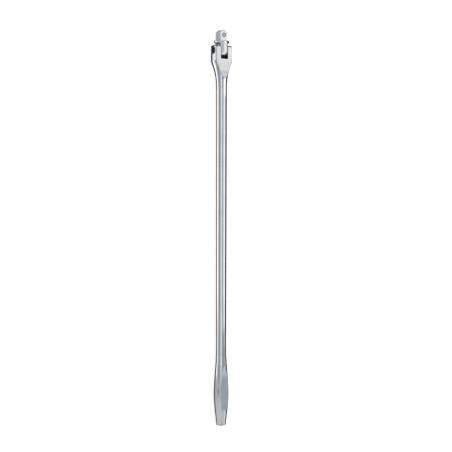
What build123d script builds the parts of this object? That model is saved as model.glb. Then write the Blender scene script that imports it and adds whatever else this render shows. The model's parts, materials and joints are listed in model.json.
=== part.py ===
from build123d import *
import math
import os

# Half-inch drive breaker bar: one forged and plated handle, whose forked yoke carries a swinging square-drive head.
#
# Frame, in millimetres: the bar lies level on a bench. The origin is on the bench under the middle of its length,
# +X runs along the bar towards the square drive, +Y is across it, along the hinge pin, and +Z is up. The side with the
# socket ball is up. Every piece is drawn with the hinge axis at the origin and is then moved to the bar's place.

# Bar
OVERALL_LENGTH = 608.0

# Square drive
DRIVE_SQUARE = 12.7  # across the flats
DRIVE_LENGTH = 16.1
DRIVE_CORNER_R = 0.4
DRIVE_LEAD_LENGTH = 3.6  # turned lead-in, measured at the square's corners
DRIVE_TIP_R = 5.3
DRIVE_TIP_EDGE_R = 1.2
DRIVE_ROOT_R = 1.0

# Collar and tang of the head, forged to one oval
SHOULDER_REACH = 15.2  # hinge axis to the face that the square stands on
HEAD_HALF_WIDTH = 12.75
HEAD_HALF_DEPTH = 9.3
COLLAR_THICKNESS = 3.9
COLLAR_EDGE_R = 1.1
TANG_THICKNESS = 12.4
TANG_ROOT_R = 1.9
TANG_EDGE_R = 1.8  # along the edges of the tang's sides and under the collar

# Hinge
PIN_R = 4.0
PIN_RUNNING_GAP = 0.05  # in the tang
PIN_SEAT_GAP = 0.01  # in the ears
PIN_SINK = 0.2  # the pin's ends lie this far below the spot faces
PIN_CHAMFER = 0.5

# Yoke
YOKE_HALF_WIDTH = 17.2
YOKE_HALF_DEPTH = 14.16  # of the oval, before its flats are cut
YOKE_THICKNESS = 15.4  # across the flats
YOKE_STRAIGHT = 17.8  # hinge axis to where the oval starts to shrink
YOKE_SHOULDER_R = 12.0
SLOT_GAP = 0.3  # on each side of the tang
SLOT_DEPTH = 12.8  # hinge axis to the slot's floor
SLOT_FLOOR_R = 1.2
SLOT_EDGE_R = 0.5
EAR_REACH = 8.2  # hinge axis to the ears' ends
EAR_END_R = 13.0
EAR_CORNER_R = 5.0
EAR_CORNER_OVER = 0.15
CREASE_R = 1.0  # between the flats and the oval
SPOT_R = 6.2
SPOT_DEPTH = 1.1

# Neck
NECK_LENGTH = 43.0
NECK_POWER = 2.45  # how fast the oval falls to the shaft
NECK_SECTIONS = 5
FLAT_REACH = 33.0  # hinge axis to where the flats start to run out
FLAT_RUNOUT_R = 26.0
FLAT_RUNOUT_LENGTH = 13.0

# Shaft
SHAFT_TOP_R = 8.25
SHAFT_LOW_R = 7.75

# Grip, with stations measured from the bar's end
GRIP_START = 118.0
GRIP_BULGE = 48.7
GRIP_BULGE_R = 11.4
GRIP_STEP = 24.9  # the two hand flats start here
GRIP_STEP_R = 9.85
GRIP_END_R = 7.3
GRIP_END_SLOPE = 0.085
GRIP_END_DOME = 1.4
GRIP_END_EDGE_R = 1.0
GRIP_FLAT_THICKNESS = 17.8
GRIP_FLAT_RUNOUT_R = 1.6  # where a flat ends at its step

# Socket ball and its spring
BALL_R = 2.8
BALL_PROUD = 1.2
BALL_GAP = 0.04
BALL_FROM_TIP = 7.2
BALL_BORE_DEPTH = 10.2
STAKE_R = 3.15  # middle of the staked groove round the ball
STAKE_GROOVE_R = 0.4
BALL_SPRING_WIRE_R = 0.28
BALL_SPRING_GAP = 0.2  # to the bore's wall
BALL_SPRING_TURNS = 4

# Tension plunger and its spring, in the slot's floor
PLUNGER_R = 3.0
PLUNGER_GAP = 0.06
PLUNGER_LENGTH = 10.0
PLUNGER_NOSE_R = 3.6
PLUNGER_NOSE_GAP = 0.1
PLUNGER_BASE_CHAMFER = 0.4
PLUNGER_BORE_DEPTH = 17.0
PLUNGER_SPRING_WIRE_R = 0.45
PLUNGER_SPRING_GAP = 0.2
PLUNGER_SPRING_TURNS = 5

SPRING_SEAT_GAP = 0.05
WIRE_SIDES = 8  # the springs' wire is drawn with flats

# What follows from the sizes above
TIP_REACH = SHOULDER_REACH + DRIVE_LENGTH
BAR_END = TIP_REACH - OVERALL_LENGTH
AXIS_HEIGHT = max(GRIP_STEP_R, HEAD_HALF_DEPTH)
SLOT_WIDTH = TANG_THICKNESS + 2 * SLOT_GAP
EAR_CENTRE = EAR_REACH - EAR_END_R
SPOT_Y = YOKE_HALF_WIDTH - SPOT_DEPTH
NECK_END = YOKE_STRAIGHT + NECK_LENGTH
BALL_REACH = TIP_REACH - BALL_FROM_TIP
BALL_Z = DRIVE_SQUARE / 2 + BALL_PROUD - BALL_R
BALL_BORE_R = BALL_R + BALL_GAP
BALL_BORE_FLOOR = DRIVE_SQUARE / 2 - BALL_BORE_DEPTH
PLUNGER_BORE_R = PLUNGER_R + PLUNGER_GAP
PLUNGER_NOSE = HEAD_HALF_DEPTH + PLUNGER_NOSE_GAP
PLUNGER_BASE = PLUNGER_NOSE + PLUNGER_LENGTH
FAR = 2 * OVERALL_LENGTH  # past everything
OVERLAP = 1.0  # how far a cut or a joined solid runs past what it meets


def block(x_range, y_range, z_range):
    """A box between two corners."""
    low, high = zip(x_range, y_range, z_range)
    size = [b - a for a, b in zip(low, high)]
    return Pos(*[(a + b) / 2 for a, b in zip(low, high)]) * Box(*size)


def rod(axis, radius, start, end, centre=(0, 0, 0)):
    """A round bar along axis, from start to end of it."""
    planes = {Axis.X: Plane.YZ, Axis.Y: Plane.ZX, Axis.Z: Plane.XY}
    plane = planes[axis]
    plane = Plane(origin=centre, x_dir=plane.x_dir, z_dir=plane.z_dir)
    return extrude(plane.offset(start) * Circle(radius), end - start)


def turned(points):
    """A solid turned about X from (x, radius) points, which start and end on the axis."""
    outline = make_face(Plane.XZ * Polyline(*points, close=True))
    return revolve(outline, axis=Axis.X, revolution_arc=360)


def spring(axis, wire_r, coil_r, start, end, turns, centre):
    """A spring along axis, between its end turns' centres: arcs of a quarter turn, turned one from the other's end."""
    pitch = (end - start) / turns

    def along(k):
        return Vector(coil_r * math.cos(k * math.pi), coil_r * math.sin(k * math.pi), start + pitch * k / 2)

    def heading(k):
        return Vector(0, coil_r * math.cos(k * math.pi), pitch / math.tau).normalized()

    section = Plane(origin=along(0), x_dir=(0, 0, 1), z_dir=heading(0)) * RegularPolygon(wire_r, WIRE_SIDES)
    section = section.faces()[0]
    skin = [section]
    for k in range(2 * turns):
        p, q, s, t = along(k), along(k + 1), heading(k), heading(k + 1)
        v, bend = q - p, 2 * (1 - s.dot(t))
        reach = (math.sqrt(v.dot(s + t) ** 2 + bend * v.dot(v)) - v.dot(s + t)) / bend
        middle = (p + s * reach + q - t * reach) * 0.5
        turn = (q - t * reach - p - s * reach).normalized()
        for here, there, way in ((p, middle, s), (middle, q, turn)):
            chord = there - here
            normal = way.cross(chord).normalized()
            arc_r = chord.length**2 / (2 * chord.dot(normal.cross(way)))
            angle = 2 * math.degrees(math.asin(chord.length / (2 * arc_r)))
            piece = revolve(section, axis=Axis(here + normal.cross(way) * arc_r, normal), revolution_arc=angle)
            caps = [f for f in piece.faces() if min((f.center() - e).length for e in (here, there)) < wire_r / 20]
            skin += [f for f in piece.faces() if f not in caps]
            section = max(caps, key=lambda f: (f.center() - here).length)
    wire = Solid(Shell(skin + [section]))
    gap = abs(pitch) * math.cos(math.atan(abs(pitch) / (math.tau * coil_r))) - 2 * wire_r
    print(f"spring of {turns} turns: least gap to itself {gap:.2f} mm, volume {wire.volume:.2f} mm3")
    place = {Axis.X: Rot(0, 90, 0), Axis.Z: Rot(0, 0, 0)}[axis]
    return Pos(*centre) * place * wire


def oval_at(reach):
    """The neck's section at a distance from the hinge axis."""
    left = max(0.0, 1 - (reach - YOKE_STRAIGHT) / NECK_LENGTH) ** NECK_POWER
    width = SHAFT_TOP_R + (YOKE_HALF_WIDTH - SHAFT_TOP_R) * left
    depth = SHAFT_TOP_R + (YOKE_HALF_DEPTH - SHAFT_TOP_R) * left
    return Plane.YZ.offset(-reach) * Ellipse(width, depth)


def forged_oval():
    """Yoke and neck before cutting: one oval that shrinks to the shaft."""
    straight = extrude(oval_at(YOKE_STRAIGHT), YOKE_STRAIGHT + EAR_REACH)
    reaches = [YOKE_STRAIGHT + NECK_LENGTH * k / (NECK_SECTIONS - 1) for k in range(NECK_SECTIONS)]
    neck = loft([oval_at(reach) for reach in reaches[:-1]] + [Plane.YZ.offset(-NECK_END) * Circle(SHAFT_TOP_R)])
    return straight + neck


def shaft_and_grip():
    """The turned length from the neck to the bar's end, with its domed end and its two hand flats."""
    grip_start, bulge, step = BAR_END + GRIP_START, BAR_END + GRIP_BULGE, BAR_END + GRIP_STEP
    rim = BAR_END + GRIP_END_DOME
    dome_r = (GRIP_END_R**2 + GRIP_END_DOME**2) / (2 * GRIP_END_DOME)
    half = math.asin(GRIP_END_R / dome_r) / 2
    dome_middle = (BAR_END + dome_r * (1 - math.cos(half)), dome_r * math.sin(half))
    outline = Curve(
        [
            Polyline((BAR_END, 0), (-NECK_END, 0), (-NECK_END, SHAFT_TOP_R), (grip_start, SHAFT_LOW_R)),
            Spline((grip_start, SHAFT_LOW_R), (bulge, GRIP_BULGE_R), tangents=[(-1, 0), (-1, 0)]),
            Spline(
                (bulge, GRIP_BULGE_R),
                (step, GRIP_STEP_R),
                (rim, GRIP_END_R),
                tangents=[(-1, 0), (-1, -GRIP_END_SLOPE)],
            ),
            ThreePointArc((rim, GRIP_END_R), dome_middle, (BAR_END, 0)),
        ]
    )
    body = revolve(make_face(Plane.XZ * outline), axis=Axis.X, revolution_arc=360)
    body = fillet([e for e in body.edges() if abs(e.center().X - rim) < 0.01], GRIP_END_EDGE_R)
    flat = block((step, grip_start), (-FAR, FAR), (GRIP_FLAT_THICKNESS / 2, FAR))
    corner = [e for e in flat.edges().filter_by(Axis.Y) if e.center().X < step + 1 and e.center().Z < FAR / 2]
    flat = fillet(corner, GRIP_FLAT_RUNOUT_R)
    return body - flat - mirror(flat, Plane.XY)


def flats_cutter():
    """What is cut off above the yoke: a flat that runs out along the neck on a large radius."""
    z = YOKE_THICKNESS / 2
    angle = math.asin(FLAT_RUNOUT_LENGTH / FLAT_RUNOUT_R)
    half = angle / 2
    middle = (-FLAT_REACH - FLAT_RUNOUT_R * math.sin(half), z + FLAT_RUNOUT_R * (1 - math.cos(half)))
    last = (-FLAT_REACH - FLAT_RUNOUT_LENGTH, z + FLAT_RUNOUT_R * (1 - math.cos(angle)))
    outline = Curve(
        [
            Line((EAR_REACH + OVERLAP, z), (-FLAT_REACH, z)),
            ThreePointArc((-FLAT_REACH, z), middle, last),
            Polyline(last, (last[0], FAR), (EAR_REACH + OVERLAP, FAR), (EAR_REACH + OVERLAP, z)),
        ]
    )
    return extrude(make_face(Plane.XZ * outline), YOKE_HALF_WIDTH + OVERLAP, both=True)


def handle_bar():
    """Forging: yoke, neck, shaft and grip, with the slot, the spot faces, the pin holes and the plunger's bore."""
    yoke = forged_oval()
    cutter = flats_cutter()
    yoke = yoke - cutter - mirror(cutter, Plane.XY)
    z = YOKE_THICKNESS / 2
    middles = [(e, e.position_at(0.5)) for e in yoke.edges()]
    shoulders = [e for e, middle in middles if abs(middle.X + YOKE_STRAIGHT) < 0.01 and abs(middle.Z) < z - 0.01]
    yoke = fillet(shoulders, YOKE_SHOULDER_R)
    creases = []
    for edge in yoke.edges():
        middle = edge.position_at(0.5)
        across = abs(edge.tangent_at(0.5).Y) > 0.9
        inside = edge.bounding_box().max.X < EAR_REACH - 0.01 or not across
        on_flat = z - 0.01 < abs(middle.Z) < YOKE_HALF_DEPTH - 0.5
        at_apex = across and abs(middle.Y) < 1 and middle.X < -FLAT_REACH - 1
        if on_flat and inside and (not across or at_apex):
            creases.append(edge)
    yoke = fillet(creases, CREASE_R)
    body = yoke + shaft_and_grip()

    ends = block((EAR_CENTRE, EAR_REACH + OVERLAP), (-FAR, FAR), (-FAR, FAR))
    ends -= rod(Axis.Y, EAR_END_R, -FAR, FAR, (EAR_CENTRE, 0, 0))
    body -= ends
    corner_x, corner_y = EAR_REACH - EAR_CORNER_R, YOKE_HALF_WIDTH + EAR_CORNER_OVER - EAR_CORNER_R
    corner = block((corner_x, FAR), (corner_y, FAR), (-FAR, FAR))
    corner -= rod(Axis.Z, EAR_CORNER_R, -FAR, FAR, (corner_x, corner_y, 0))
    body = body - corner - mirror(corner, Plane.XZ)

    slot = block((-SLOT_DEPTH, FAR), (-SLOT_WIDTH / 2, SLOT_WIDTH / 2), (-FAR, FAR))
    floor = [e for e in slot.edges().filter_by(Axis.Z) if e.center().X < 0]
    body -= fillet(floor, SLOT_FLOOR_R)
    rim = []
    for edge in body.edges():
        middle = edge.position_at(0.5)
        on_end = math.hypot(middle.X - EAR_CENTRE, middle.Z) > EAR_END_R - 0.01
        on_surface = abs(abs(middle.Z) - YOKE_THICKNESS / 2) < 0.01 or on_end
        if middle.X > -SLOT_DEPTH - 0.01 and on_surface and abs(middle.Y) < SLOT_WIDTH / 2 + 0.01:
            rim.append(edge)
    body = fillet(rim, SLOT_EDGE_R)
    for side in (1, -1):
        body -= rod(Axis.Y, SPOT_R, side * SPOT_Y, side * FAR)
    body -= rod(Axis.Y, PIN_R + PIN_SEAT_GAP, -FAR, FAR)
    body -= rod(Axis.X, PLUNGER_BORE_R, -SLOT_DEPTH - PLUNGER_BORE_DEPTH, -SLOT_DEPTH + OVERLAP)
    return body


def drive_head():
    """Swinging head: square drive, oval collar and the tang that fits the yoke."""
    under, half = SHOULDER_REACH - COLLAR_THICKNESS, TANG_THICKNESS / 2
    oval = Plane.YZ * Ellipse(HEAD_HALF_WIDTH, HEAD_HALF_DEPTH)
    upper_half = oval & (Plane.YZ * Pos(0, FAR / 2) * Rectangle(FAR, FAR))
    stock = extrude(oval, SHOULDER_REACH) + revolve(upper_half, axis=Axis.Y, revolution_arc=360)
    side = block((-FAR, under), (half, FAR), (-FAR, FAR))
    root = [e for e in side.edges().filter_by(Axis.Z) if abs(e.center().X - under) < 0.01 and e.center().Y < half + 1]
    side = fillet(root, TANG_ROOT_R)
    head = stock - side - mirror(side, Plane.XZ)
    side_edges = [e for e in head.edges() if half - 0.01 < abs(e.position_at(0.5).Y) and e.position_at(0.5).X < under + 0.01]
    head = fillet(side_edges, TANG_EDGE_R)
    upper = [e for e in head.edges() if abs(e.position_at(0.5).X - SHOULDER_REACH) < 0.01]
    head = fillet(upper, COLLAR_EDGE_R)
    head -= rod(Axis.Y, PIN_R + PIN_RUNNING_GAP, -FAR, FAR)

    square = extrude(
        Plane.YZ.offset(SHOULDER_REACH - OVERLAP) * RectangleRounded(DRIVE_SQUARE, DRIVE_SQUARE, DRIVE_CORNER_R),
        DRIVE_LENGTH + OVERLAP,
    )
    corner_reach = DRIVE_SQUARE / math.sqrt(2)
    turned_tip = turned(
        [
            (SHOULDER_REACH - 2 * OVERLAP, 0),
            (SHOULDER_REACH - 2 * OVERLAP, corner_reach),
            (TIP_REACH - DRIVE_LEAD_LENGTH, corner_reach),
            (TIP_REACH, DRIVE_TIP_R),
            (TIP_REACH, 0),
        ]
    )
    tip_edge = [e for e in turned_tip.edges() if abs(e.center().X - TIP_REACH) < 0.01 and e.geom_type == GeomType.CIRCLE]
    square = square & fillet(tip_edge, DRIVE_TIP_EDGE_R)
    head += square
    roots = []
    for edge in head.edges():
        middle = edge.position_at(0.5)
        if abs(middle.X - SHOULDER_REACH) < 0.01 and max(abs(middle.Y), abs(middle.Z)) < DRIVE_SQUARE / 2 + 0.01:
            roots.append(edge)
    head = fillet(roots, DRIVE_ROOT_R)

    head -= rod(Axis.Z, BALL_BORE_R, BALL_BORE_FLOOR, BALL_Z, (BALL_REACH, 0, 0))
    head -= Pos(BALL_REACH, 0, BALL_Z) * Sphere(BALL_BORE_R)
    return head - Pos(BALL_REACH, 0, DRIVE_SQUARE / 2) * Torus(STAKE_R, STAKE_GROOVE_R)


def hinge_pin():
    """Plain round pin, held in the ears."""
    end = SPOT_Y - PIN_SINK
    pin = rod(Axis.Y, PIN_R, -end, end)
    return chamfer(pin.edges().filter_by(GeomType.CIRCLE), PIN_CHAMFER)


def tension_plunger():
    """Plunger with a domed nose, which bears on the round end of the tang."""
    plunger = rod(Axis.X, PLUNGER_R, -PLUNGER_BASE, -PLUNGER_NOSE)
    base = [e for e in plunger.edges().filter_by(GeomType.CIRCLE) if e.center().X < -PLUNGER_BASE + 0.1]
    plunger = chamfer(base, PLUNGER_BASE_CHAMFER)
    return plunger & (
        Pos(-PLUNGER_NOSE - PLUNGER_NOSE_R, 0, 0) * Sphere(PLUNGER_NOSE_R)
        + rod(Axis.X, PLUNGER_NOSE_R, -PLUNGER_BASE - OVERLAP, -PLUNGER_NOSE - PLUNGER_NOSE_R)
    )


def tension_spring():
    """Spring behind the plunger, from its base to the floor of the bore."""
    seat = PLUNGER_SPRING_WIRE_R + SPRING_SEAT_GAP
    coil_r = PLUNGER_BORE_R - PLUNGER_SPRING_GAP - PLUNGER_SPRING_WIRE_R
    floor = -SLOT_DEPTH - PLUNGER_BORE_DEPTH
    return spring(
        Axis.X, PLUNGER_SPRING_WIRE_R, coil_r, floor + seat, -PLUNGER_BASE - seat, PLUNGER_SPRING_TURNS, (0, 0, 0)
    )


def socket_ball():
    """Ball that holds the socket, proud of the drive's upper face."""
    return Pos(BALL_REACH, 0, BALL_Z) * Sphere(BALL_R)


def socket_ball_spring():
    """Spring under the ball, from the floor of its bore to the ball's underside."""
    coil_r = BALL_BORE_R - BALL_SPRING_GAP - BALL_SPRING_WIRE_R
    touch = math.sqrt((BALL_R + BALL_SPRING_WIRE_R + SPRING_SEAT_GAP) ** 2 - coil_r**2)
    start = BALL_BORE_FLOOR + BALL_SPRING_WIRE_R + SPRING_SEAT_GAP
    return spring(
        Axis.Z, BALL_SPRING_WIRE_R, coil_r, start, BALL_Z - touch, BALL_SPRING_TURNS, (BALL_REACH, 0, 0)
    )


PIECES = [handle_bar, drive_head, hinge_pin, tension_plunger, tension_spring, socket_ball, socket_ball_spring]

os.makedirs("parts", exist_ok=True)
place = Pos(OVERALL_LENGTH / 2 - TIP_REACH, 0, AXIS_HEIGHT)
for piece in PIECES:
    solid = (place * piece()).solids()
    assert len(solid) == 1, piece.__name__
    solid[0].label = piece.__name__
    export_step(solid[0], f"parts/{piece.__name__}.step")
print(f"hinge axis at X {OVERALL_LENGTH / 2 - TIP_REACH:.2f}, Z {AXIS_HEIGHT:.2f}")
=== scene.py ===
import json
import math

import bpy
from mathutils import Matrix, Vector

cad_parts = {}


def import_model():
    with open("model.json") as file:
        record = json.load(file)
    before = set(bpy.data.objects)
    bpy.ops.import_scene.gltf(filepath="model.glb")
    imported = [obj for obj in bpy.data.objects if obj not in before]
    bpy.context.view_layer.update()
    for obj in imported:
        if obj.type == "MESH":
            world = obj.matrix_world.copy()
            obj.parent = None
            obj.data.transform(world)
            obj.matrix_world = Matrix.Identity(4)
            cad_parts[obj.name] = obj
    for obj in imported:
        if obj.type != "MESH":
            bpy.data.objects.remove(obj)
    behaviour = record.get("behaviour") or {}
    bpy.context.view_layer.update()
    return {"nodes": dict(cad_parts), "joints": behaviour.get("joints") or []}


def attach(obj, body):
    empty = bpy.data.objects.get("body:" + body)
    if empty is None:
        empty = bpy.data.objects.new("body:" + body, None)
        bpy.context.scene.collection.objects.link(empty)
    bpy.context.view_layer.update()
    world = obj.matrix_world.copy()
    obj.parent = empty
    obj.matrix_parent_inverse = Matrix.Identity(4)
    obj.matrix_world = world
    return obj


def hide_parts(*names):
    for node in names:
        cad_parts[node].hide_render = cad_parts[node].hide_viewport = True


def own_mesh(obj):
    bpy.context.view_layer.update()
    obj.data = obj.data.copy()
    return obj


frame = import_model()
NODES = frame["nodes"]
JOINTS = {joint["name"]: joint for joint in frame["joints"]}
SCENE = bpy.context.scene
COLLECTION = SCENE.collection

# The bar lies along X. The camera looks down on it from the +Y side.
HINGE_X, _, AXIS_Z = JOINTS["head_swing"]["pos_m"]
TURN = math.radians(36.0)  # the upper flats face this far to the right of the camera
TOWARD_CAMERA = Vector((0.0, math.sin(TURN), math.cos(TURN)))
IMAGE_RIGHT = Vector((0.0, -math.cos(TURN), math.sin(TURN)))
PIXEL = 0.0015387  # metres of the bar that one pixel covers
FRAME_PIXELS = 452
LENS = 150.0
SENSOR = 36.0
ROLL = math.radians(0.085)
AIM_ACROSS, AIM_ALONG = 4.63, 2.0  # pixels from the middle of the bar to the middle of the frame
CLIP_START, CLIP_END = 0.05, 200.0


def linear(value):
    """Linear light for a display value of 0 to 255."""
    v = value / 255.0
    return v / 12.92 if v <= 0.04045 else ((v + 0.055) / 1.055) ** 2.4


# ---------------------------------------------------------------- node helpers

MIX_A, MIX_B, MIX_RESULT = 6, 7, 2  # a colour mix's sockets


class Nodes:
    """Short calls for building one node tree."""

    def __init__(self, tree):
        self.tree = tree
        tree.nodes.clear()

    def add(self, kind, **settings):
        node = self.tree.nodes.new(kind)
        for name, value in settings.items():
            setattr(node, name, value)
        return node

    def put(self, socket, value):
        if isinstance(value, bpy.types.NodeSocket):
            self.tree.links.new(value, socket)
        else:
            socket.default_value = value

    def math(self, operation, a, b=0.0, c=0.0):
        node = self.add("ShaderNodeMath", operation=operation)
        for socket, value in zip(node.inputs, (a, b, c)):
            self.put(socket, value)
        return node.outputs[0]

    def ramp(self, value, low, high, out_low, out_high, smooth=True):
        node = self.add("ShaderNodeMapRange", interpolation_type="SMOOTHSTEP" if smooth else "LINEAR")
        names = ("Value", "From Min", "From Max", "To Min", "To Max")
        for name, v in zip(names, (value, low, high, out_low, out_high)):
            self.put(node.inputs[name], v)
        return node.outputs["Result"]

    def rise(self, value, span):
        """0 below the span and 1 above it."""
        return self.ramp(value, *span, 0.0, 1.0)

    def fall(self, value, span):
        """1 below the span and 0 above it."""
        return self.ramp(value, *span, 1.0, 0.0)

    def magnitude(self, value):
        return self.math("ABSOLUTE", value)

    def distance(self, a, b):
        return self.math("SQRT", self.math("ADD", self.math("POWER", a, 2.0), self.math("POWER", b, 2.0)))

    def product(self, *shares):
        total = shares[0]
        for share in shares[1:]:
            total = self.math("MULTIPLY", total, share)
        return total

    def stretched(self, coordinates, scale):
        node = self.add("ShaderNodeMapping")
        self.put(node.inputs["Vector"], coordinates)
        node.inputs["Scale"].default_value = scale
        return node.outputs["Vector"]

    def noise(self, vector, scale, detail):
        node = self.add("ShaderNodeTexNoise")
        self.put(node.inputs["Vector"], vector)
        node.inputs["Scale"].default_value = scale
        node.inputs["Detail"].default_value = detail
        return node.outputs["Fac"]

    def tinted(self, base, tone):
        node = self.add("ShaderNodeMix", data_type="RGBA", blend_type="MULTIPLY")
        self.put(node.inputs["Factor"], 1.0)
        self.put(node.inputs[MIX_A], base)
        self.put(node.inputs[MIX_B], (*tone, 1.0))
        return node.outputs[MIX_RESULT]

    def mix(self, factor, a, b):
        node = self.add("ShaderNodeMix", data_type="RGBA")
        self.put(node.inputs["Factor"], factor)
        self.put(node.inputs[MIX_A], a)
        self.put(node.inputs[MIX_B], b)
        return node.outputs[MIX_RESULT]


def colour(red, green, blue):
    return (red, green, blue, 1.0)


def grey(value):
    return colour(value, value, value)


# ---------------------------------------------------------------- materials

# Places on the solids, in metres. Heights and depths are measured from the bar's axis.
SLOT_HALF_WIDTH = 0.0065
SLOT_FLOOR_X = HINGE_X - 0.0128
SHOULDER_X = HINGE_X + 0.0152
TANG_HALF_WIDTH = 0.0062
FLAT_Z = 0.0077  # the yoke's flats
FLAT_END_X = HINGE_X - 0.031  # where they start to run out
YOKE_END_X = HINGE_X - 0.046  # where they have run out
BALL_X = HINGE_X + 0.0241
STEP_X = -0.304 + 0.0249  # where the hand flats end
SPOT_R = 0.0062
SPOT_Y = 0.0161  # the spot faces

# Where a finish, or a painted shade or highlight, starts and where it is full.
FLAT_SKIN = FLAT_Z - 0.00006, FLAT_Z - 0.00001
FLAT_START = YOKE_END_X, YOKE_END_X + 0.012
RUNOUT_START = YOKE_END_X, YOKE_END_X + 0.004
RUNOUT_END = FLAT_END_X - 0.0014, FLAT_END_X + 0.0022
LIP_SKIN = FLAT_Z - 0.0006, FLAT_Z - 0.0003
LIP_START = SLOT_FLOOR_X - 0.0016, SLOT_FLOOR_X - 0.0011
LIP_END = SLOT_FLOOR_X, SLOT_FLOOR_X + 0.0003
LIP_SIDE = SLOT_HALF_WIDTH, SLOT_HALF_WIDTH + 0.002
SLOT_WALL = SLOT_HALF_WIDTH + 0.00002, SLOT_HALF_WIDTH + 0.00012
SLOT_MOUTH = FLAT_Z - 0.0008, FLAT_Z - 0.0004
SLOT_BACK = SLOT_FLOOR_X - 0.0002
SPOT_FACE = SPOT_Y - 0.0001, SPOT_Y - 0.00002
SPOT_RIM = SPOT_R - 0.00005, SPOT_R + 0.00005
STEP_START = STEP_X - 0.0002, STEP_X
STEP_END = STEP_X + 0.0009, STEP_X + 0.0014
STEP_SKIN = 0.0086, 0.0088
SQUARE_START = SHOULDER_X + 0.0003, SHOULDER_X + 0.0012
STAKE_RIM = 0.0033, 0.0037
SKIN_SIDE = TANG_HALF_WIDTH - 0.0002, TANG_HALF_WIDTH + 0.0002
SKIN_END = SHOULDER_X - 0.0036, SHOULDER_X - 0.0024
TANG_END = HINGE_X - 0.003, HINGE_X + 0.001


def from_axis(n, coordinates):
    """x, y and z of a point, with z measured from the bar's axis."""
    split = n.add("ShaderNodeSeparateXYZ")
    n.put(split.inputs[0], coordinates.outputs["Object"])
    return split.outputs["X"], split.outputs["Y"], n.math("SUBTRACT", split.outputs["Z"], AXIS_Z)


def on_yoke_flats(n, coordinates):
    """1 on the two flats of the yoke."""
    x, _, z = from_axis(n, coordinates)
    return n.product(n.rise(n.magnitude(z), FLAT_SKIN), n.rise(x, FLAT_START))


def runout_painted_shade(n, coordinates):
    """1 where the flats run out along the neck; painted shade darkens it there."""
    x, _, z = from_axis(n, coordinates)
    return n.product(n.rise(n.magnitude(z), FLAT_SKIN), n.fall(x, RUNOUT_END), n.rise(x, RUNOUT_START))


def lip_painted_highlight(n, coordinates):
    """1 on a strip of the flats along the slot's floor, where a highlight is painted."""
    x, y, z = from_axis(n, coordinates)
    along = n.product(n.rise(x, LIP_START), n.fall(x, LIP_END))
    return n.product(n.rise(n.magnitude(z), LIP_SKIN), along, n.fall(n.magnitude(y), LIP_SIDE))


def slot_painted_shade(n, coordinates):
    """1 on the walls and the floor of the slot, which painted shade darkens nearly to black."""
    x, y, z = from_axis(n, coordinates)
    inside = n.product(n.fall(n.magnitude(y), SLOT_WALL), n.fall(n.magnitude(z), SLOT_MOUTH))
    return n.product(inside, n.math("GREATER_THAN", x, SLOT_BACK))


def spot_painted_shade(n, coordinates):
    """1 on the machined spot faces round the pin's ends, which painted shade darkens."""
    x, y, z = from_axis(n, coordinates)
    reach = n.distance(n.math("SUBTRACT", x, HINGE_X), z)
    return n.product(n.rise(n.magnitude(y), SPOT_FACE), n.fall(reach, SPOT_RIM))


def grip_step_painted_shade(n, coordinates):
    """1 in the corner where a hand flat ends, which painted shade darkens."""
    x, _, z = from_axis(n, coordinates)
    return n.product(n.rise(x, STEP_START), n.fall(x, STEP_END), n.rise(n.magnitude(z), STEP_SKIN))


def collar_skin_and_painted_shade(n, coordinates):
    """1 on the forged skin below the collar and on the tang's sides, off its front and back: rougher, and with
    painted shade darkening it.
    """
    x, y, _ = from_axis(n, coordinates)
    return n.product(n.rise(n.magnitude(y), SKIN_SIDE), n.fall(x, SKIN_END))


def tang_end_painted_shade(n, coordinates):
    """1 on the round end of the tang, behind the hinge: rougher, and with painted shade darkening it."""
    x, _, _ = from_axis(n, coordinates)
    return n.fall(x, TANG_END)


def on_square(n, coordinates):
    """1 on the square drive."""
    x, _, _ = from_axis(n, coordinates)
    return n.rise(x, SQUARE_START)


def stake_painted_shade(n, coordinates):
    """1 in the staked ring round the ball, which painted shade darkens."""
    x, y, z = from_axis(n, coordinates)
    reach = n.distance(n.math("SUBTRACT", x, BALL_X), y)
    return n.product(n.fall(reach, STAKE_RIM), n.math("GREATER_THAN", z, 0.0))


# Scales of the noise in a metal, by axis, and the depth in metres of the bumps that it makes
DRAWN_LINES = (40.0, 2600.0, 2600.0)
FORGED_WAVE = (40.0, 90.0, 90.0)
CLOUDS = 55.0
LINE_DEPTH = 0.000004
WAVE_DEPTH = 0.00006
WAVE = 0.1  # strength of the forged wave


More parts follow.
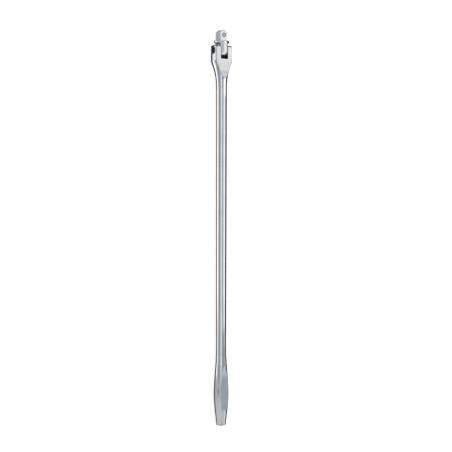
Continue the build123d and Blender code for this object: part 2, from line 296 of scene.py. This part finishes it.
def metal(name, dark, light, rough, grain=0.35, finishes_and_painted_light=()):
    """Plated or bare steel: two tones, a roughness that wanders, drawn grain along X and a slow forged wave.

    A finish is (mask, tone, roughness): where the mask is 1, the tone multiplies the colour and the roughness is
    the finish's own. Some finishes are painted light: their tone paints shade or a highlight into the colour.
    """
    material = bpy.data.materials.new(name)
    material.use_nodes = True
    n = Nodes(material.node_tree)
    out = n.add("ShaderNodeOutputMaterial")
    shader = n.add("ShaderNodeBsdfPrincipled")
    n.put(out.inputs["Surface"], shader.outputs[0])
    shader.inputs["Metallic"].default_value = 1.0
    coordinates = n.add("ShaderNodeTexCoord")
    place = coordinates.outputs["Object"]

    lines = n.noise(n.stretched(place, DRAWN_LINES), 1.0, 2.0)
    clouds = n.noise(place, CLOUDS, 3.0)
    slow = n.noise(n.stretched(place, FORGED_WAVE), 1.0, 1.0)

    base = n.mix(n.ramp(clouds, 0.3, 0.7, 0.0, 1.0), colour(*dark), colour(*light))
    roughness = rough
    for mask, tone, there in finishes_and_painted_light:
        share = mask(n, coordinates)
        base = n.mix(share, base, n.tinted(base, tone))
        roughness = n.ramp(share, 0.0, 1.0, roughness, there, smooth=False)
    n.put(shader.inputs["Base Color"], base)
    wander = n.math("MULTIPLY_ADD", n.math("ADD", lines, clouds), 0.5, 0.5)
    n.put(shader.inputs["Roughness"], n.math("MULTIPLY", roughness, wander))

    fine = n.add("ShaderNodeBump")
    fine.inputs["Strength"].default_value = grain
    fine.inputs["Distance"].default_value = LINE_DEPTH
    n.put(fine.inputs["Height"], lines)
    broad = n.add("ShaderNodeBump")
    broad.inputs["Strength"].default_value = WAVE
    broad.inputs["Distance"].default_value = WAVE_DEPTH
    n.put(broad.inputs["Height"], slow)
    n.put(broad.inputs["Normal"], fine.outputs[0])
    n.put(shader.inputs["Normal"], broad.outputs[0])
    return material


def add_object(name, data):
    piece = bpy.data.objects.new(name, data)
    COLLECTION.objects.link(piece)
    return piece


def dress(mesh, material):
    mesh.materials.clear()
    mesh.materials.append(material)


chrome_bar = metal(
    "chrome_bar",
    (0.80, 0.81, 0.83),
    (0.86, 0.87, 0.88),
    0.06,
    finishes_and_painted_light=(
        (on_yoke_flats, (0.90, 0.90, 0.89), 0.16),
        # painted shade where the flats run out
        (runout_painted_shade, (0.77, 0.77, 0.785), 0.2),
        # painted highlight along the edge of the slot's floor
        (lip_painted_highlight, (1.16, 1.16, 1.16), 0.2),
        # painted shade inside the slot
        (slot_painted_shade, (0.05, 0.05, 0.055), 0.4),
        # painted shade on the spot faces
        (spot_painted_shade, (0.1, 0.1, 0.12), 0.3),
        # painted shade in the corner of the grip's step
        (grip_step_painted_shade, (0.6, 0.6, 0.61), 0.2),
    ),
)
chrome_head = metal(
    "chrome_head",
    (0.76, 0.77, 0.79),
    (0.84, 0.85, 0.86),
    0.07,
    finishes_and_painted_light=(
        # rough forged skin, with painted shade under the collar
        (collar_skin_and_painted_shade, (0.66, 0.67, 0.69), 0.32),
        # rougher tang end, with painted shade
        (tang_end_painted_shade, (0.80, 0.81, 0.83), 0.32),
        (on_square, (1.08, 1.08, 1.09), 0.34),
        # painted shade in the staked ring
        (stake_painted_shade, (0.25, 0.24, 0.22), 0.3),
    ),
)
pin_steel = metal("pin_steel", (0.025, 0.025, 0.03), (0.05, 0.05, 0.055), 0.3)
plunger_steel = metal("plunger_steel", (0.02, 0.02, 0.022), (0.035, 0.035, 0.038), 0.35)
spring_steel = metal("spring_steel", (0.30, 0.30, 0.31), (0.42, 0.42, 0.43), 0.3, grain=0.6)
ball_steel = metal("ball_steel", (0.62, 0.60, 0.57), (0.72, 0.70, 0.67), 0.1)

dress(NODES["handle_bar"].data, chrome_bar)
dress(NODES["drive_head"].data, chrome_head)
dress(NODES["hinge_pin"].data, pin_steel)
dress(NODES["tension_plunger"].data, plunger_steel)
dress(NODES["socket_ball"].data, ball_steel)


def sprung(node, body):
    """A copy of a spring in spring steel, attached to its body, with the original hidden."""
    mesh = NODES[node].data.copy()
    dress(mesh, spring_steel)
    piece = add_object(node + "_coil", mesh)
    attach(piece, body)
    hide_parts(node)
    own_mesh(piece)


sprung("tension_spring", "handle")
sprung("socket_ball_spring", "head")


# ---------------------------------------------------------------- studio


FLOOR_HALF = 30.0
FLOOR_GREY = 0.8  # as other surfaces see it
FLOOR_SEEN_GREY, FLOOR_GLOW = 0.35, 0.75  # as the camera sees it: white, with the object's shadow
WORLD_FILL = 0.55


def floor():
    """A pale floor that takes the object's shadow."""
    mesh = bpy.data.meshes.new("floor")
    corners = [(x * FLOOR_HALF, y * FLOOR_HALF, 0) for x, y in ((-1, -1), (1, -1), (1, 1), (-1, 1))]
    mesh.from_pydata(corners, [], [(0, 1, 2, 3)])
    piece = add_object("floor", mesh)
    material = bpy.data.materials.new("floor_white")
    material.use_nodes = True
    n = Nodes(material.node_tree)
    out = n.add("ShaderNodeOutputMaterial")
    diffuse = n.add("ShaderNodeBsdfDiffuse")
    diffuse.inputs["Color"].default_value = grey(FLOOR_GREY)
    soft = n.add("ShaderNodeBsdfDiffuse")
    soft.inputs["Color"].default_value = grey(FLOOR_SEEN_GREY)
    glow = n.add("ShaderNodeEmission")
    glow.inputs["Color"].default_value = grey(1.0)
    glow.inputs["Strength"].default_value = FLOOR_GLOW
    seen = n.add("ShaderNodeAddShader")
    n.put(seen.inputs[0], soft.outputs[0])
    n.put(seen.inputs[1], glow.outputs[0])
    path = n.add("ShaderNodeLightPath")
    shown = n.math("MAXIMUM", path.outputs["Is Camera Ray"], path.outputs["Is Glossy Ray"])
    shown = n.math("MAXIMUM", shown, path.outputs["Is Transmission Ray"])
    mix = n.add("ShaderNodeMixShader")
    n.put(mix.inputs[0], shown)
    n.put(mix.inputs[1], diffuse.outputs[0])
    n.put(mix.inputs[2], seen.outputs[0])
    n.put(out.inputs["Surface"], mix.outputs[0])
    mesh.materials.append(material)
    piece.visible_glossy = False


def world():
    """White where the camera looks past the floor, and a plain fill on the object."""
    studio = bpy.data.worlds.new("studio")
    SCENE.world = studio
    studio.use_nodes = True
    n = Nodes(studio.node_tree)
    out = n.add("ShaderNodeOutputWorld")
    path = n.add("ShaderNodeLightPath")
    white = n.add("ShaderNodeBackground")
    white.inputs["Color"].default_value = grey(1.0)
    white.inputs["Strength"].default_value = 1.0
    fill = n.add("ShaderNodeBackground")
    fill.inputs["Color"].default_value = grey(1.0)
    fill.inputs["Strength"].default_value = WORLD_FILL
    mix = n.add("ShaderNodeMixShader")
    n.put(mix.inputs[0], n.math("MAXIMUM", path.outputs["Is Camera Ray"], path.outputs["Is Transmission Ray"]))
    n.put(mix.inputs[1], fill.outputs[0])
    n.put(mix.inputs[2], white.outputs[0])
    n.put(out.inputs["Surface"], mix.outputs[0])


# Light round the bar, as the display value that a mirror there shows, by angle about the bar's axis: 0 is the
# camera's side and the image's right is positive. A stop is (angle, value) or (angle, value, blueness).
SHAFT_LIGHT = (
    (-180, 25), (-112.5, 25), (-106, 275), (-85, 275), (-74, 205), (-62, 172), (-52, 148, 1.0), (-40, 128, 1.0),
    (-31, 150, 1.0), (-16, 182, 0.3), (-6, 222, 0.4), (4, 235, 0.3), (12, 200, 0.8), (22, 140, 1.2), (33, 165, 1.0),
    (42, 212), (54, 232), (62, 268), (93, 268), (98, 130), (103, 30), (180, 30),
)
HEAD_LIGHT = (
    (-180, 45), (-150, 15), (-106, 15), (-102, 240), (-83, 228), (-66, 250), (-57, 228), (-48, 190), (-40, 150, 0.6),
    (-30, 158, 0.6), (-15, 182, 0.3), (2, 164, 0.6), (12, 168, 0.5), (22, 202, 0.3), (40, 178, 0.3), (50, 184, 0.3),
    (58, 200, 0.2), (65, 234), (75, 246), (84, 246), (92, 198), (99, 165), (104, 15), (150, 15), (180, 45),
)
HEAD_LIGHT_FROM, HEAD_LIGHT_TO = 0.232, 0.258
GRIP_LIGHT = (
    (-180, 60), (-120, 80), (-108, 150), (-95, 170), (-60, 168), (-44, 150, 0.6), (-30, 175, 0.8), (-8, 165, 0.8),
    (10, 158, 0.5), (72, 157, 0.5), (98, 150, 0.4), (110, 70), (180, 60),
)
GRIP_LIGHT_FROM, GRIP_LIGHT_TO = -0.215, -0.235

# Cards in the tent, over that light: angles, their soft edge, x from and to, its soft edge, value and blueness.
CARDS = (
    ("light beside the collar", -60, -34, 4, 0.302, 0.36, 0.002, 242, 0.0),
    ("shade over the neck's flats", 50, 94, 6, 0.253, 0.274, 0.003, 222, -0.2),
    ("shade past the drive", 50, 94, 6, 0.334, 0.43, 0.006, 205, 0.4),
    ("light past the drive", 55, 112, 4, 0.45, 0.55, 0.02, 255, 0.0),
    ("grey card at the neck of the grip", 30, 96, 12, -0.222, -0.168, 0.012, 136, -0.3),
    ("light edge at the neck of the grip", 88, 103, 3, -0.245, -0.17, 0.012, 190, 0.0),
    ("grey card above it", 46, 62, 6, -0.19, -0.125, 0.02, 175, -0.2),
    ("flag above the grip", -181, -103, 2, -0.225, -0.13, 0.02, 30, 0.0),
    ("shade above the grip", -86, -60, 5, -0.235, -0.15, 0.02, 180, 0.0),
    ("shade at the top of the grip", -18, 14, 6, -0.24, -0.20, 0.01, 184, 0.2),
    ("light over the top of the hand flat", 50, 110, 10, -0.243, -0.222, 0.008, 188, 0.3),
    ("dark reflection in the grip", -53, -37, 3, -0.2695, -0.2525, 0.002, 116, 1.2),
    ("light under the tail, left", -100, 0, 12, -0.9, -0.30, 0.03, 186, 0.0),
    ("light under the tail, right", 0, 100, 12, -0.9, -0.335, 0.02, 182, 0.0),
    ("dark end past the drive", 112, 181, 3, 0.45, 0.95, 0.05, 30, 0.5),
    ("light end past the drive", -181, 181, 1, 0.95, 3.0, 0.1, 240, 0.0),
    ("light streak under the tail", 76, 92, 3, -0.5, -0.325, 0.015, 222, 0.0),
    ("dark end past the tail", -181, 181, 1, -3.0, -0.60, 0.1, 70, 0.3),
)
BLUENESS = (-0.07, 0.0, 0.05)  # what a blueness of 1 adds to red, green and blue
BLUE_GAIN = 2.2  # from display values to linear light
REFLECTANCE = 0.84
TENT_SIDES = 96
TENT_RADIUS = 0.2
TENT_HALF_LENGTH = 2.4


def light_colour(value, blueness=0.0):
    """Colour that shows as the display value after one reflection in the plating."""
    level = linear(value) / REFLECTANCE
    return colour(*[level * (1.0 + BLUE_GAIN * share * blueness) for share in BLUENESS])


def tent():
    """A tube of light and dark strips round the bar, seen only in reflections."""
    points, faces = [], []
    for k in range(TENT_SIDES):
        angle = math.tau * k / TENT_SIDES
        for x in (-TENT_HALF_LENGTH, TENT_HALF_LENGTH):
            points.append((x, TENT_RADIUS * math.cos(angle), TENT_RADIUS * math.sin(angle)))
    for k in range(TENT_SIDES):
        a, b = 2 * k, 2 * ((k + 1) % TENT_SIDES)
        faces.append((a, a + 1, b + 1, b))
    mesh = bpy.data.meshes.new("tent")
    mesh.from_pydata(points, [], faces)
    piece = add_object("tent", mesh)
    piece.location = (0.0, 0.0, AXIS_Z)
    material = bpy.data.materials.new("tent_light")
    material.use_nodes = True
    n = Nodes(material.node_tree)
    out = n.add("ShaderNodeOutputMaterial")
    split = n.add("ShaderNodeSeparateXYZ")
    n.put(split.inputs[0], n.add("ShaderNodeTexCoord").outputs["Object"])
    x, y, z = split.outputs
    right = n.math("MULTIPLY_ADD", y, IMAGE_RIGHT.y, n.math("MULTIPLY", z, IMAGE_RIGHT.z))
    front = n.math("MULTIPLY_ADD", y, TOWARD_CAMERA.y, n.math("MULTIPLY", z, TOWARD_CAMERA.z))
    angle = n.math("MULTIPLY", n.math("ARCTAN2", right, front), 360.0 / math.tau)

    def strips(stops):
        node = n.add("ShaderNodeValToRGB")
        n.put(node.inputs["Fac"], n.math("MULTIPLY_ADD", angle, 1.0 / 360.0, 0.5))
        elements = node.color_ramp.elements
        elements.remove(elements[1])
        for index, (turn, *light) in enumerate(stops):
            place = (turn + 180.0) / 360.0
            element = elements[0] if index == 0 else elements.new(place)
            element.position = place
            element.color = light_colour(*light)
        return node.outputs["Color"]

    def within(value, low, high, soft):
        rise = n.ramp(value, low - soft, low + soft, 0.0, 1.0)
        fall = n.ramp(value, high - soft, high + soft, 1.0, 0.0)
        return n.math("MULTIPLY", rise, fall)

    glow = n.mix(n.ramp(x, GRIP_LIGHT_TO, GRIP_LIGHT_FROM, 1.0, 0.0), strips(SHAFT_LIGHT), strips(GRIP_LIGHT))
    glow = n.mix(n.ramp(x, HEAD_LIGHT_FROM, HEAD_LIGHT_TO, 0.0, 1.0), glow, strips(HEAD_LIGHT))
    for _, turn_low, turn_high, turn_soft, x_low, x_high, x_soft, value, blueness in CARDS:
        card = n.math("MULTIPLY", within(angle, turn_low, turn_high, turn_soft), within(x, x_low, x_high, x_soft))
        glow = n.mix(card, glow, light_colour(value, blueness))
    light = n.add("ShaderNodeEmission")
    n.put(light.inputs["Color"], glow)
    light.inputs["Strength"].default_value = 1.0
    n.put(out.inputs["Surface"], light.outputs[0])
    mesh.materials.append(material)
    piece.visible_camera = False
    piece.visible_diffuse = False
    piece.visible_transmission = False
    piece.visible_volume_scatter = False
    piece.visible_shadow = False


def softbox(name, place, aim, size, power):
    """A soft lamp that casts the shadow and isn't mirrored in the plating."""
    data = bpy.data.lights.new(name, "AREA")
    data.shape = "RECTANGLE"
    data.size, data.size_y = size
    data.energy = power
    lamp = add_object(name, data)
    lamp.location = place
    lamp.rotation_euler = (Vector(aim) - Vector(place)).to_track_quat("-Z", "Y").to_euler()
    lamp.visible_glossy = False


floor()
world()
tent()
softbox("overhead", place=(0.0, 0.1, 1.6), aim=(0.0, 0.0, 0.0), size=(2.6, 1.6), power=30.0)


# ---------------------------------------------------------------- camera


def camera():
    """The photograph's view: square on to the bar and turned about it."""
    data = bpy.data.cameras.new("camera")
    data.type = "PERSP"
    data.lens = LENS
    data.sensor_width = SENSOR
    data.clip_start, data.clip_end = CLIP_START, CLIP_END
    eye = add_object("camera", data)
    up = Vector((1.0, 0.0, 0.0))
    across = IMAGE_RIGHT * math.cos(ROLL) + up * math.sin(ROLL)
    along = up * math.cos(ROLL) - IMAGE_RIGHT * math.sin(ROLL)
    target = Vector((0.0, 0.0, AXIS_Z)) + across * (AIM_ACROSS * PIXEL) + along * (AIM_ALONG * PIXEL)
    distance = LENS / SENSOR * FRAME_PIXELS * PIXEL
    turn = Matrix((across, along, TOWARD_CAMERA)).transposed()
    eye.matrix_world = Matrix.Translation(target + TOWARD_CAMERA * distance) @ turn.to_4x4()
    SCENE.camera = eye


camera()
SCENE.view_settings.view_transform = "Standard"
